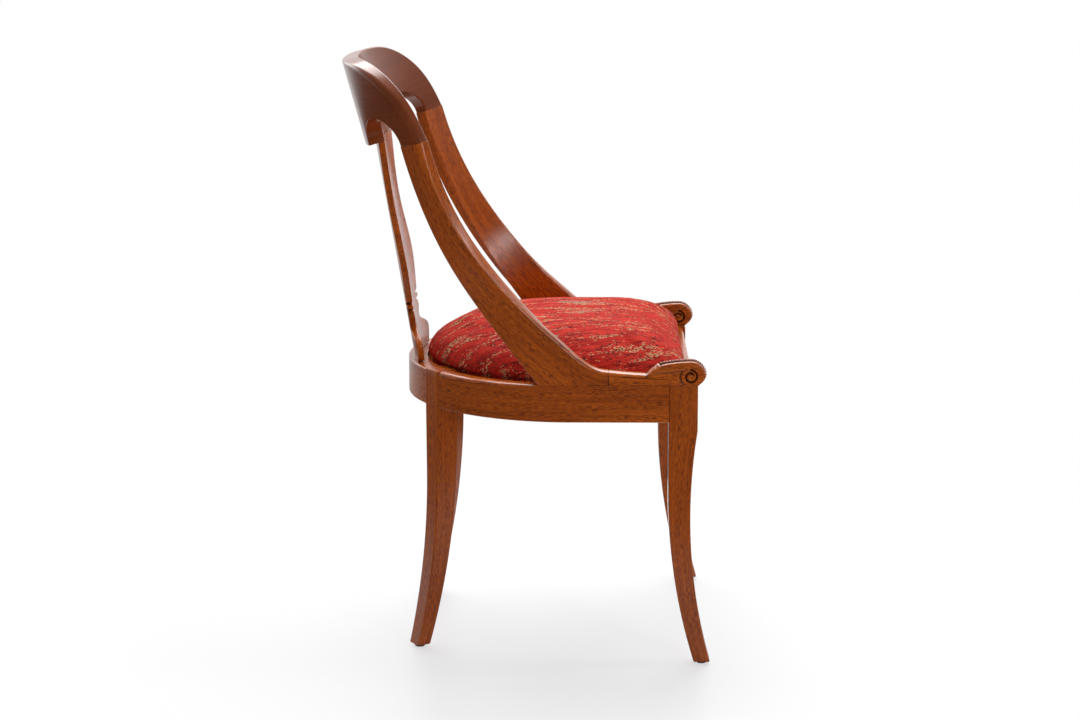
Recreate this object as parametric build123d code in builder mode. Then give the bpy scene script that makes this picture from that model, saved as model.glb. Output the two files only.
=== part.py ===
# Gondola dining chair: a horseshoe seat frame on sabre legs, arms that sweep up into a curved
# crest rail, a vase splat, scrolled front blocks and an upholstered seat that lifts out.
# Millimetres. +Z is up, the chair faces -Y, and the origin is on the floor under its middle.
from build123d import *
from math import asin, cos, degrees, pi, radians, sin, sqrt
import os

os.makedirs("parts", exist_ok=True)

# Seat frame
seat_width = 480.0            # over the side rails
rail_top = 411.6
rail_height = 53.4
rail_thickness = 28.0
front_reach = 180.6           # seat arc centre to the front faces of the front legs
front_rail_setback = 4.0      # front rail behind those faces

# Front legs
front_leg_width = 40.0
front_leg_depth = 40.8
front_knee_drop = 13.0        # below the rails, where the front edge turns in
front_waist_height = 225.0
front_waist_inset = 8.8
front_heel_start = 260.0      # where the back edge leaves the vertical
toe_reach = 202.4             # seat arc centre to the tips of the toes
toe_depth = 23.5
toe_width = 28.0

# Rear legs, square posts set on the seat arc
rear_leg_angle = 33.5         # from straight back
rear_leg_size = 34.0
rear_leg_proud = 0.8          # outer face outside the rails
rear_sweep = 33.0             # how far the foot reaches out
rear_outer_start = 260.0
rear_inner_start = 300.0
rear_foot_depth = 20.5
rear_foot_width = 26.0

# Glides under the feet
glide_height = 4.0
glide_diameter = 15.0
glide_chamfer = 1.0
nail_diameter = 2.0
nail_length = 14.0
nail_head = 5.0
nail_head_height = 1.0

# Crest rail, a board bent to an arc that leans back
crest_reach = 333.4           # seat arc centre to the back of the crest
crest_height = 849.5          # of the outer top edge at the middle
crest_lean = 15.3
crest_radius = 353.0          # outer face
crest_thickness = 24.5        # at the middle
crest_end_thickness = 21.0
crest_board = 125.3           # height of the board along its lean
crest_half = 235.6            # half width over the outer corners
crest_flat_half = 95.0        # points down the top's curve: half width and drop
crest_flat_drop = 1.8
crest_bend_half = 165.0
crest_bend_drop = 17.5
crest_side_half = 212.0
crest_side_drop = 57.0
crest_side_slope = 0.15       # of the side at its end, outwards for each unit down
crest_end = 31.9              # width of each end, seen from the front
tab_half = 88.0               # half width of the middle tab
arch_height = 42.0

# Arms
arm_foot_rise = 20.4          # front end above the rails
arm_foot_front = 54.5         # front end ahead of the seat arc centre
arm_foot_drop = 84.0          # section height carried down into the foot
arm_width = 42.0
arm_bow = 6.0
arm_round = 4.0
arm_low_rise = 50.6           # front edge over the rails, at the seat arc centre
arm_middle_behind = 66.0      # its next points, behind that centre
arm_middle_rise = 109.0
arm_high_behind = 153.0
arm_high_rise = 207.0
arm_twist_start = 0.25        # part of the length before the arm begins to twist
arm_stations = 9

# Scrolled blocks ahead of the arms
scroll_dip = 4.0              # hollow of the top
scroll_slope = 0.12           # of the top where it meets the arm
tail_ahead = 107.0            # tail of the scroll, ahead of the seat arc centre
tail_run = 16.0
tail_rise = 13.0
volute_ahead = 170.5          # centre of the volute
volute_rise = 13.0
volute_top = 22.0             # its radius at the top, front and bottom
volute_front = 22.0
volute_bottom = 17.0

# Splat
splat_thickness = 9.5
splat_tenon = 10.0
splat_tenon_thickness = 4.5
splat_tenon_room = 0.15
splat_base_way = (0.6, 1)     # directions of the outline at the base, neck, lobe and top
splat_neck_way = (-0.3, 1)
splat_lobe_way = (1, 0.3)
splat_top_way = (0.2, 1)
splat_base_half = 72.0
splat_flare_half = 84.0
splat_flare_rise = 28.0
splat_neck_half = 40.0
splat_bead_half = 47.0
splat_bead_rise = 84.0
splat_bead_height = 12.0
splat_lobe_half = 73.0
splat_lobe_rise = 150.0
splat_waist_half = 58.0
splat_waist_rise = 232.0
splat_top_half = 77.0
splat_shoulder = 6.0          # tenon shoulder at each side

# Dowels, screws and blocks inside the frame
dowel_diameter = 8.0
dowel_length = 24.0
dowel_room = 0.15             # round each dowel
dowel_gap = 1.0               # beyond its ends
dowel_pitch = 24.0
block_height = 30.0
block_leg = 62.0              # side of a front corner block
rear_block_half = 45.0
rear_block_depth = 30.0
screw_diameter = 5.0
screw_length = 42.0
screw_head = 10.0
screw_head_height = 3.0

# Lift-out seat
seat_gap = 3.0                # between the cushion and the arm feet
seat_lift = 0.5               # cushion over the rails
cover_thickness = 1.2
board_thickness = 12.0
board_margin = 9.0            # rails to the edge of the board
pad_rise = 62.0               # crown over the rails
pad_corner = 34.0
pad_front_rim = 9.0           # face of the front rail to the cushion
pad_foot_size = 0.975         # outline at the foot, as a part of the widest one
pad_foot_rise = 0.17          # height of the widest outline, as a part of the crown's
pad_fullness = 0.6            # lower is fuller
pad_angles = (0, 15, 30, 45, 58, 70, 79, 85)
turn_under = 26.0             # cover turned under the board
lining_thickness = 0.8
lining_inset = 13.0
rest_gap = 0.3

# Places worked out from the sizes above
half = seat_width / 2
arc_y = (toe_reach - crest_reach) / 2
rail_bottom = rail_top - rail_height
inner = half - rail_thickness
front_y = arc_y - front_reach
leg_back_y = front_y + front_leg_depth
leg_inner = half - front_leg_width
front_rail_y = front_y + front_rail_setback
front_rail_back = front_rail_y + rail_thickness
rail_middle = (rail_top + rail_bottom) / 2
rear_outer = half + rear_leg_proud
rear_inner = rear_outer - rear_leg_size
board_bottom = rail_top + seat_lift + cover_thickness - board_thickness
block_top = board_bottom - cover_thickness - lining_thickness - rest_gap


def mirrored(part):
    """The same piece on the other side of the chair."""
    return part.mirror(Plane.YZ)


def finish(part, name):
    """Label a piece and write it."""
    part.label = name
    export_step(part, f"parts/{name}.step")


def on_arc(radius, offset, side=1):
    """Point on a circle round the seat arc centre, offset sideways from a rear leg's radial line."""
    angle = radians(rear_leg_angle)
    along = sqrt(radius**2 - offset**2)
    x = along * sin(angle) + offset * cos(angle)
    y = along * cos(angle) - offset * sin(angle)
    return (side * x, arc_y + y)


def arc_middle(radius, start, end):
    """Middle of the seat arc's circle between two of its points."""
    chord = Vector((start[0] + end[0]) / 2, (start[1] + end[1]) / 2 - arc_y)
    way = chord.normalized() * radius
    return (way.X, arc_y + way.Y)


def rod(diameter, length, base, axis):
    """A plain round rod from a base point along an axis."""
    with BuildPart() as piece:
        with BuildSketch(Plane(origin=base, z_dir=axis)):
            Circle(diameter / 2)
        extrude(amount=length)
    return piece.part


def dowel_at(point, axis):
    """A dowel with its middle at a joint face."""
    start = Vector(*point) - Vector(*axis).normalized() * (dowel_length / 2)
    return rod(dowel_diameter, dowel_length, start, axis)


def dowel_hole(point, axis):
    """The hole for that dowel, in both pieces at once."""
    length = dowel_length + 2 * dowel_gap
    start = Vector(*point) - Vector(*axis).normalized() * (length / 2)
    return rod(dowel_diameter + 2 * dowel_room, length, start, axis)


# Joints of the frame: a point on each joint face and the way its dowels run
crest_up = Vector(0, sin(radians(crest_lean)), cos(radians(crest_lean)))
crest_out = Vector(0, cos(radians(crest_lean)), -sin(radians(crest_lean)))
crest_top_point = Vector(0, arc_y + crest_reach, crest_height)
crest_axis_point = crest_top_point - crest_out * crest_radius
end_outer_angle = asin(crest_half / crest_radius)
end_inner_angle = asin((crest_half - crest_end) / crest_radius)
end_angle = (end_outer_angle + end_inner_angle) / 2
arm_twist = 90 - degrees(end_angle)


def on_crest(angle, inset, drop, side=1):
    """Point of the crest board: angle round its arc, depth in from the outer face, drop from the top."""
    radius = crest_radius - inset
    across = Vector(side * radius * sin(angle), 0, 0)
    return crest_axis_point + across + crest_out * (radius * cos(angle)) - crest_up * drop


rail_rows = [rail_middle - dowel_pitch / 2, rail_middle + dowel_pitch / 2]
leg_turn = radians(rear_leg_angle)
leg_side_way = (cos(leg_turn), -sin(leg_turn), 0)
rail_centre_radius = half - rail_thickness / 2
side_joint = on_arc(rail_centre_radius, rear_leg_size / 2)
back_joint = on_arc(rail_centre_radius, -rear_leg_size / 2)
front_rail_middle = (front_rail_y + front_rail_back) / 2
rail_dowel_places = []
for row in rail_rows:
    rail_dowel_places.append(((half - rail_thickness / 2, leg_back_y, row), (0, 1, 0)))
    rail_dowel_places.append(((leg_inner, front_rail_middle, row), (1, 0, 0)))
    rail_dowel_places.append(((*side_joint, row), leg_side_way))
    rail_dowel_places.append(((*back_joint, row), leg_side_way))

arm_front_y = arc_y - arm_foot_front
foot_dowel_y = [arm_front_y + dowel_pitch, arm_front_y + 2 * dowel_pitch]
scroll_dowel_y = [arm_front_y - dowel_pitch, leg_back_y - front_leg_depth / 2]
arm_dowel_places = [((half - rail_thickness / 2, y, rail_top), (0, 0, 1)) for y in foot_dowel_y]
scroll_dowel_places = [((half - rail_thickness / 2, y, rail_top), (0, 0, 1)) for y in scroll_dowel_y]
end_step = (end_outer_angle - end_inner_angle) / 4
crest_dowel_places = [
    (tuple(on_crest(end_angle + turn * end_step, crest_end_thickness / 2, crest_board)), tuple(crest_up))
    for turn in (-1, 1)
]


def holes(places):
    """All the dowel holes of a list of joints, on the left side."""
    return [dowel_hole(point, axis) for point, axis in places]


def both_sides(pieces):
    """Pieces of the left side with their copies on the right."""
    return [*pieces, *[mirrored(piece) for piece in pieces]]


def dowel_group(places, name):
    """All the dowels of a list of joints, on both sides, as one group."""
    finish(Compound(children=both_sides([dowel_at(point, axis) for point, axis in places])), name)


rail_holes = holes(rail_dowel_places)
arm_holes = holes(arm_dowel_places)
scroll_holes = holes(scroll_dowel_places)
crest_holes = holes(crest_dowel_places)
dowel_group(rail_dowel_places, "rail_dowels")
dowel_group(arm_dowel_places, "arm_dowels")
dowel_group(scroll_dowel_places, "scroll_dowels")
dowel_group(crest_dowel_places, "crest_dowels")


def leg_point(sideways, outward):
    """Point in plan, from the left rear leg's own directions."""
    x = outward * sin(leg_turn) + sideways * cos(leg_turn)
    y = outward * cos(leg_turn) - sideways * sin(leg_turn)
    return (x, arc_y + y)


# Screws that draw the corner blocks to the legs
leg_out_way = (sin(leg_turn), cos(leg_turn), 0)
block_bottom = block_top - block_height
screw_z = (block_top + block_bottom) / 2
block_face = (inner - block_leg / 2, front_rail_back + block_leg / 2)
rear_block_chord = inner - rear_block_depth
front_screw = ((*block_face, screw_z), (1, -1, 0))
rear_screw = ((*leg_point(0, rear_block_chord), screw_z), leg_out_way)


def headed(place, shank, head, head_height, length):
    """A round-headed fastener: its head stands on the face at the place, its shank runs along the axis."""
    point, axis = place
    with BuildPart() as piece:
        with BuildSketch(Plane(origin=point, z_dir=axis)):
            Circle(shank / 2)
        extrude(amount=length)
        with BuildSketch(Plane(origin=point, z_dir=axis)):
            Circle(head / 2)
        extrude(amount=-head_height)
    return piece.part


def shank_hole(place, shank, length):
    """The hole for such a shank."""
    point, axis = place
    return rod(shank + 2 * dowel_room, length + dowel_gap, point, axis)


front_screw_hole = shank_hole(front_screw, screw_diameter, screw_length)
rear_screw_hole = shank_hole(rear_screw, screw_diameter, screw_length)
screws = [
    headed(place, screw_diameter, screw_head, screw_head_height, screw_length) for place in (front_screw, rear_screw)
]
finish(Compound(children=both_sides(screws)), "corner_screws")

# Glides under the feet, each held by a nail
front_foot = (half - front_leg_width / 2, arc_y - toe_reach + toe_depth / 2)
rear_foot = leg_point(0, rear_outer + rear_sweep - rear_foot_depth / 2)
glide_sink = glide_height / 2
front_nail = ((*front_foot, glide_sink), (0, 0, 1))
rear_nail = ((*rear_foot, glide_sink), (0, 0, 1))
front_nail_hole = shank_hole(front_nail, nail_diameter, nail_length)
rear_nail_hole = shank_hole(rear_nail, nail_diameter, nail_length)
nails = [headed(place, nail_diameter, nail_head, nail_head_height, nail_length) for place in (front_nail, rear_nail)]
finish(Compound(children=both_sides(nails)), "glide_nails")
for foot_name, foot_place, nail_hole in (
    ("front", front_foot, front_nail_hole),
    ("rear", rear_foot, rear_nail_hole),
):
    with BuildPart() as glide:
        with BuildSketch(Plane.XY):
            with Locations(foot_place):
                Circle(glide_diameter / 2)
        extrude(amount=glide_height)
        chamfer(glide.faces().sort_by(Axis.Z)[0].edges(), glide_chamfer)
        with BuildSketch(Plane.XY):
            with Locations(foot_place):
                Circle(nail_head / 2 + dowel_room)
        extrude(amount=glide_sink, mode=Mode.SUBTRACT)
        add(nail_hole, mode=Mode.SUBTRACT)
    finish(glide.part, f"glide_{foot_name}_left")
    finish(mirrored(glide.part), f"glide_{foot_name}_right")


# Side rails: straight from the front leg, then round the seat arc to the rear leg
with BuildPart() as side_rail_left:
    with BuildSketch(Plane.XY.offset(rail_bottom)):
        with BuildLine():
            outer_end = on_arc(half, rear_leg_size / 2)
            inner_end = on_arc(inner, rear_leg_size / 2)
            Line((inner, leg_back_y), (half, leg_back_y))
            Line((half, leg_back_y), (half, arc_y))
            ThreePointArc((half, arc_y), arc_middle(half, (half, arc_y), outer_end), outer_end)
            Line(outer_end, inner_end)
            ThreePointArc(inner_end, arc_middle(inner, (inner, arc_y), inner_end), (inner, arc_y))
            Line((inner, arc_y), (inner, leg_back_y))
        make_face()
    extrude(amount=rail_height)
    add(rail_holes + arm_holes + scroll_holes, mode=Mode.SUBTRACT)
finish(side_rail_left.part, "side_rail_left")
finish(mirrored(side_rail_left.part), "side_rail_right")

# Splat: a vase-shaped board bent to an arc, from the back rail up to the crest rail's tab,
# flush with the front of the tab
splat_foot = Vector(0, arc_y + half - rail_thickness / 2, rail_top)
splat_head = on_crest(0, crest_thickness - splat_thickness / 2, crest_board)
splat_up = (splat_head - splat_foot).normalized()
splat_length = (splat_head - splat_foot).length
splat_face = Plane(origin=splat_foot, x_dir=(1, 0, 0), z_dir=Vector(1, 0, 0).cross(splat_up))
splat_radius = crest_radius - crest_thickness + splat_thickness / 2
splat_axis_point = splat_foot - splat_up.cross(Vector(1, 0, 0)) * splat_radius
splat_arc = Plane(origin=splat_axis_point, x_dir=(1, 0, 0), z_dir=splat_up)
splat_blank = splat_radius / 2
tab_under = Plane(origin=splat_head, x_dir=(1, 0, 0), z_dir=crest_up)


def splat_ring(thickness):
    """A tube about the splat's arc, tall enough for the splat and its tenons."""
    with BuildPart() as tube:
        with BuildSketch(splat_arc):
            Circle(splat_radius + thickness / 2)
            Circle(splat_radius - thickness / 2, mode=Mode.SUBTRACT)
        extrude(amount=2 * splat_length, both=True)
    return tube.part


def splat_tenons(room):
    """The tenons at both ends of the splat, or with room round them their mortises."""
    ring = splat_ring(splat_tenon_thickness + 2 * room)
    with BuildPart() as ends:
        with BuildSketch(splat_face):
            for end, width in ((0, splat_base_half), (splat_length, splat_top_half)):
                with Locations((0, end)):
                    Rectangle(2 * (width - splat_shoulder + room), 2 * (splat_tenon + room))
        extrude(amount=splat_blank, both=True)
        add(ring, mode=Mode.INTERSECT)
    return ends.part


tenons = splat_tenons(0)
mortises = splat_tenons(splat_tenon_room)
bent_board = splat_ring(splat_thickness)
bead_low = splat_bead_rise - splat_bead_height / 2
bead_high = splat_bead_rise + splat_bead_height / 2
with BuildPart() as splat:
    with BuildSketch(splat_face):
        with BuildLine():
            top = splat_length + splat_tenon
            foot = -splat_tenon
            Line((0, foot), (splat_base_half, foot))
            Line((splat_base_half, foot), (splat_base_half, 0))
            Spline(
                (splat_base_half, 0),
                (splat_flare_half, splat_flare_rise),
                (splat_neck_half, bead_low),
                tangents=(splat_base_way, splat_neck_way),
            )
            ThreePointArc(
                (splat_neck_half, bead_low),
                (splat_bead_half, splat_bead_rise),
                (splat_neck_half, bead_high),
            )
            Spline(
                (splat_neck_half, bead_high),
                (splat_lobe_half, splat_lobe_rise),
                (splat_waist_half, splat_waist_rise),
                (splat_top_half, splat_length),
                tangents=(splat_lobe_way, splat_top_way),
            )
            Line((splat_top_half, splat_length), (splat_top_half, top))
            Line((splat_top_half, top), (0, top))
            mirror(about=Plane.YZ)
        make_face()
    extrude(amount=splat_blank, both=True)
    add(bent_board, mode=Mode.INTERSECT)
    split(bisect_by=tab_under, keep=Keep.BOTTOM)
    split(bisect_by=Plane.XY.offset(rail_top), keep=Keep.TOP)
    add(tenons)
finish(splat.part, "splat")

# Back rail between the rear legs, with the mortise for the splat
with BuildPart() as back_rail:
    with BuildSketch(Plane.XY.offset(rail_bottom)):
        with BuildLine():
            side = -rear_leg_size / 2
            outer_left, outer_right = on_arc(half, side), on_arc(half, side, -1)
            inner_left, inner_right = on_arc(inner, side), on_arc(inner, side, -1)
            ThreePointArc(outer_left, (0, arc_y + half), outer_right)
            Line(outer_right, inner_right)
            ThreePointArc(inner_right, (0, arc_y + inner), inner_left)
            Line(inner_left, outer_left)
        make_face()
    extrude(amount=rail_height)
    add(both_sides(rail_holes), mode=Mode.SUBTRACT)
    add(mortises, mode=Mode.SUBTRACT)
finish(back_rail.part, "back_rail")

# Front rail between the front legs
with BuildPart() as front_rail:
    with BuildSketch(Plane.XY.offset(rail_bottom)):
        with Locations((0, front_rail_middle)):
            Rectangle(2 * leg_inner, rail_thickness)
    extrude(amount=rail_height)
    add(both_sides(rail_holes), mode=Mode.SUBTRACT)
finish(front_rail.part, "front_rail")

# Crest rail: the outline cut out of a bent board, with edges square to its outer face. The board
# thins towards its ends, so its inner face is an arc about a centre further forward.
board_face = Plane(origin=crest_top_point, x_dir=(1, 0, 0), z_dir=Vector(1, 0, 0).cross(crest_up))
arch_middle = (tab_half + crest_half - crest_end) / 2
arch_half = (crest_half - crest_end - tab_half) / 2
middle_radius = crest_radius - crest_thickness
end_radius = crest_radius - crest_end_thickness
inner_shift = (end_radius**2 - middle_radius**2) / 2 / (end_radius * cos(end_angle) - middle_radius)
with BuildPart() as crest_hollow:
    with BuildSketch(Plane(origin=crest_axis_point + crest_out * inner_shift, x_dir=(1, 0, 0), z_dir=crest_up)):
        Circle(middle_radius - inner_shift)
    extrude(amount=crest_board * 2, both=True)
with BuildPart() as crest_blank:
    with BuildSketch(Plane(origin=crest_axis_point, x_dir=(1, 0, 0), z_dir=crest_up)):
        Circle(crest_radius)
    extrude(amount=crest_board * 2, both=True)
    with BuildSketch(board_face):
        with BuildLine():
            Spline(
                (0, 0),
                (crest_flat_half, -crest_flat_drop),
                (crest_bend_half, -crest_bend_drop),
                (crest_side_half, -crest_side_drop),
                (crest_half, -crest_board),
                tangents=((1, 0), (crest_side_slope, -1)),
            )
            Line((crest_half, -crest_board), (crest_half - crest_end, -crest_board))
            EllipticalCenterArc((arch_middle, -crest_board), arch_half, arch_height, arc_size=180)
            Line((tab_half, -crest_board), (0, -crest_board))
            mirror(about=Plane.YZ)
        make_face()
    extrude(amount=crest_radius, both=True, mode=Mode.INTERSECT)
round_faces = crest_blank.faces().filter_by(GeomType.CYLINDER)
crest_face = round_faces.sort_by(Axis.Y)[-1]
with BuildPart() as crest_rail:
    thicken(crest_face, amount=crest_thickness, normal_override=crest_out * -1)
    add(crest_hollow.part, mode=Mode.SUBTRACT)
    add(both_sides(crest_holes), mode=Mode.SUBTRACT)
    add(mortises, mode=Mode.SUBTRACT)
finish(crest_rail.part, "crest_rail")

# Arms: rounded sections along the front edge, twisting from the rail up to the crest rail
with BuildLine() as arm_edge:
    Spline(
        (half, arm_front_y, rail_top + arm_foot_rise),
        (half, arc_y, rail_top + arm_low_rise),
        (half, arc_y + arm_middle_behind, rail_top + arm_middle_rise),
        (half + arm_bow, arc_y + arm_high_behind, rail_top + arm_high_rise),
        on_crest(end_outer_angle, 0, crest_board),
        tangents=((0, 1, 0), crest_up),
    )
arm_path = arm_edge.wire()


def arm_section(part_way):
    """Plane, thickness and width of the arm at a part of its length."""
    edge = arm_path.position_at(part_way)
    along = arm_path.tangent_at(part_way)
    sideways = (Vector(1, 0, 0) - along * along.X).normalized()
    backways = along.cross(sideways)
    turn = min(max((part_way - arm_twist_start) / (1 - arm_twist_start), 0), 1)
    twist = radians(arm_twist) * sin(turn * pi / 2)
    out = sideways * cos(twist) + backways * sin(twist)
    down = backways * cos(twist) - sideways * sin(twist)
    thickness = crest_end_thickness + (rail_thickness - crest_end_thickness) * (1 - part_way) ** 2
    width = arm_width + (arm_foot_drop - arm_width) * (1 - part_way) ** 3
    middle = edge + down * (width / 2) - out * (thickness / 2)
    return Plane(origin=middle, x_dir=out, z_dir=along), thickness, width


with BuildPart() as arm_left:
    for station in range(arm_stations):
        plane, thickness, width = arm_section(station / (arm_stations - 1))
        with BuildSketch(plane):
            RectangleRounded(thickness, width, arm_round)
    loft()
    split(bisect_by=Plane.XY.offset(rail_top), keep=Keep.TOP)
    add(arm_holes + crest_holes, mode=Mode.SUBTRACT)
finish(arm_left.part, "arm_left")
finish(mirrored(arm_left.part), "arm_right")

# Scrolled blocks: a hollow-topped block that runs into a volute over the front leg
volute_y = arc_y - volute_ahead
volute_z = rail_top + volute_rise
tail_y = arc_y - tail_ahead
block_top_z = rail_top + arm_foot_rise
diagonal = sqrt(0.5)
with BuildPart() as scroll_left:
    with BuildSketch(Plane.YZ.offset(inner)):
        with BuildLine():
            tail = (tail_y, block_top_z - scroll_dip)
            tail_top = (tail_y - tail_run, block_top_z - scroll_dip + tail_rise)
            crown = (volute_y, volute_z + volute_top)
            nose = (volute_y - volute_front, volute_z)
            mean_top = (volute_top + volute_front) / 2
            mean_low = (volute_bottom + volute_front) / 2
            chin = (front_y, volute_z - volute_bottom)
            Line((arm_front_y, rail_top), (arm_front_y, block_top_z))
            TangentArc((arm_front_y, block_top_z), tail, tangent=(-1, -scroll_slope))
            Line(tail, tail_top)
            TangentArc(crown, tail_top, tangent=(1, 0))
            ThreePointArc(crown, (volute_y - mean_top * diagonal, volute_z + mean_top * diagonal), nose)
            ThreePointArc(nose, (volute_y - mean_low * diagonal, volute_z - mean_low * diagonal), chin)
            Line(chin, (front_y, rail_top))
            Line((front_y, rail_top), (arm_front_y, rail_top))
        make_face()
    extrude(amount=rail_thickness)
    add(scroll_holes, mode=Mode.SUBTRACT)
finish(scroll_left.part, "scroll_left")
finish(mirrored(scroll_left.part), "scroll_right")

# Front legs: one long curve down the front edge, a swept heel, and a taper seen from the front
with BuildPart() as front_leg_left:
    with BuildSketch(Plane.YZ.offset(leg_inner)):
        with BuildLine():
            knee = (front_y, rail_bottom - front_knee_drop)
            waist = (front_y + front_waist_inset, front_waist_height)
            toe = (arc_y - toe_reach, glide_height)
            heel = (arc_y - toe_reach + toe_depth, glide_height)
            Line((leg_back_y, rail_top), (front_y, rail_top))
            Line((front_y, rail_top), knee)
            ThreePointArc(knee, waist, toe)
            Line(toe, heel)
            TangentArc((leg_back_y, front_heel_start), heel, tangent=(0, -1))
            Line((leg_back_y, front_heel_start), (leg_back_y, rail_top))
        make_face()
    extrude(amount=front_leg_width)
    with BuildSketch(Plane.XZ):
        with BuildLine():
            middle = half - front_leg_width / 2
            Polyline(
                (half, rail_top),
                (half, rail_bottom),
                (middle + toe_width / 2, glide_height),
                (middle - toe_width / 2, glide_height),
                (leg_inner, rail_bottom),
                (leg_inner, rail_top),
                close=True,
            )
        make_face()
    extrude(amount=toe_reach + front_reach, both=True, mode=Mode.INTERSECT)
    add([*rail_holes, *scroll_holes, front_nail_hole, front_screw_hole], mode=Mode.SUBTRACT)
finish(front_leg_left.part, "front_leg_left")
finish(mirrored(front_leg_left.part), "front_leg_right")


# Rear legs: posts turned to the seat arc, sweeping out and back to the feet
sweep_plane = Plane(origin=(0, arc_y, 0), x_dir=leg_out_way, z_dir=leg_side_way)
taper_plane = Plane(origin=(0, arc_y, 0), x_dir=leg_side_way, z_dir=Vector(*leg_out_way) * -1)
with BuildPart() as rear_leg_left:
    with BuildSketch(sweep_plane):
        with BuildLine():
            foot_out = (rear_outer + rear_sweep, glide_height)
            foot_in = (rear_outer + rear_sweep - rear_foot_depth, glide_height)
            Line((rear_inner, rail_top), (rear_outer, rail_top))
            Line((rear_outer, rail_top), (rear_outer, rear_outer_start))
            TangentArc((rear_outer, rear_outer_start), foot_out, tangent=(0, -1))
            Line(foot_out, foot_in)
            TangentArc((rear_inner, rear_inner_start), foot_in, tangent=(0, -1))
            Line((rear_inner, rear_inner_start), (rear_inner, rail_top))
        make_face()
    extrude(amount=rear_leg_size / 2, both=True)
    with BuildSketch(taper_plane):
        with BuildLine():
            Polyline(
                (rear_leg_size / 2, rail_top),
                (rear_leg_size / 2, rail_bottom),
                (rear_foot_width / 2, glide_height),
                (-rear_foot_width / 2, glide_height),
                (-rear_leg_size / 2, rail_bottom),
                (-rear_leg_size / 2, rail_top),
                close=True,
            )
        make_face()
    extrude(amount=rear_outer + rear_sweep + rear_leg_size, both=True, mode=Mode.INTERSECT)
    add([*rail_holes, rear_nail_hole, rear_screw_hole], mode=Mode.SUBTRACT)
finish(rear_leg_left.part, "rear_leg_left")
finish(mirrored(rear_leg_left.part), "rear_leg_right")

# Corner blocks under the seat: one in each front corner, one behind each rear leg
with BuildPart() as front_block_left:
    with BuildSketch(Plane.XY.offset(block_bottom)):
        with BuildLine():
            Polyline(
                (inner, front_rail_back + block_leg),
                (inner, leg_back_y),
                (leg_inner, leg_back_y),
                (leg_inner, front_rail_back),
                (inner - block_leg, front_rail_back),
                close=True,
            )
        make_face()
    extrude(amount=block_height)
    add(front_screw_hole, mode=Mode.SUBTRACT)
finish(front_block_left.part, "corner_block_front_left")
finish(mirrored(front_block_left.part), "corner_block_front_right")

with BuildPart() as rear_block_left:
    with BuildSketch(Plane.XY.offset(block_bottom)):
        with BuildLine():
            post = rear_leg_size / 2
            near_end, near_post = on_arc(inner, rear_block_half), on_arc(inner, post)
            far_post, far_end = on_arc(inner, -post), on_arc(inner, -rear_block_half)
            Line(leg_point(-rear_block_half, rear_block_chord), leg_point(rear_block_half, rear_block_chord))
            Line(leg_point(rear_block_half, rear_block_chord), near_end)
            ThreePointArc(near_end, arc_middle(inner, near_end, near_post), near_post)
            Polyline(near_post, leg_point(post, rear_inner), leg_point(-post, rear_inner), far_post)
            ThreePointArc(far_post, arc_middle(inner, far_post, far_end), far_end)
            Line(far_end, leg_point(-rear_block_half, rear_block_chord))
        make_face()
    extrude(amount=block_height)
    add(rear_screw_hole, mode=Mode.SUBTRACT)
finish(rear_block_left.part, "corner_block_rear_left")
finish(mirrored(rear_block_left.part), "corner_block_rear_right")

# Lift-out seat: a board, a crowned pad, a fabric cover turned under the board, and a lining
pad_half = inner - seat_gap
pad_front = front_rail_y + pad_front_rim
pad_back = arc_y + pad_half
pad_middle = (pad_front + pad_back) / 2
pad_base = rail_top + seat_lift
board_half = inner - board_margin
board_front = leg_back_y + seat_gap


def horseshoe(width, front, corner):
    """Seat outline: round at the back about the seat arc centre, square in front with round corners."""
    cut = corner * (1 - diagonal)
    back_mid = width * diagonal
    with BuildLine() as outline:
        Line((0, front), (width - corner, front))
        ThreePointArc((width - corner, front), (width - cut, front + cut), (width, front + corner))
        Line((width, front + corner), (width, arc_y))
        ThreePointArc((width, arc_y), (back_mid, arc_y + back_mid), (0, arc_y + width))
        mirror(about=Plane.YZ)
    return outline.line


def scaled_outline(size):
    """The cushion's outline, drawn in about the middle of the seat."""
    outline = horseshoe(pad_half, pad_front, pad_corner)
    return outline.moved(Location((0, -pad_middle, 0))).scale(size).moved(Location((0, pad_middle, 0)))


# Height and outline size of the cushion, as parts of the full ones: a drawn-in foot, then a dome
pad_profile = [(0, pad_foot_size)]
for angle in pad_angles:
    dome_rise = pad_foot_rise + (1 - pad_foot_rise) * sin(radians(angle))
    pad_profile.append((dome_rise, cos(radians(angle)) ** pad_fullness))


def cushion(skin):
    """The cushion's form, drawn in by a skin all round."""
    with BuildPart() as form:
        for rise, size in pad_profile:
            height = skin + rise * (pad_rise - seat_lift - 2 * skin)
            with BuildSketch(Plane.XY.offset(pad_base + height)):
                add(scaled_outline(size - skin / pad_half))
                make_face()
        loft(ruled=True)
    return form.part


def horseshoe_prism(width, front, bottom, height):
    """A flat board of the seat's outline."""
    with BuildPart() as prism:
        with BuildSketch(Plane.XY.offset(bottom)):
            add(horseshoe(width, front, pad_corner))
            make_face()
        extrude(amount=height)
    return prism.part


cover_foot = board_bottom - cover_thickness
cover_outside = cushion(0)
cover_inside = cushion(cover_thickness)
board_blank = horseshoe_prism(board_half, board_front, board_bottom, board_thickness)
cover_wrap = horseshoe_prism(
    board_half + cover_thickness, board_front - cover_thickness, cover_foot, pad_base + cover_thickness - cover_foot
)
cover_opening = horseshoe_prism(
    board_half - turn_under, board_front + turn_under, cover_foot, cover_thickness
)

with BuildPart() as seat_board:
    add(board_blank)
finish(seat_board.part, "seat_board")

with BuildPart() as seat_pad:
    add(cushion(cover_thickness + rest_gap))
finish(seat_pad.part, "seat_pad")

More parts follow.
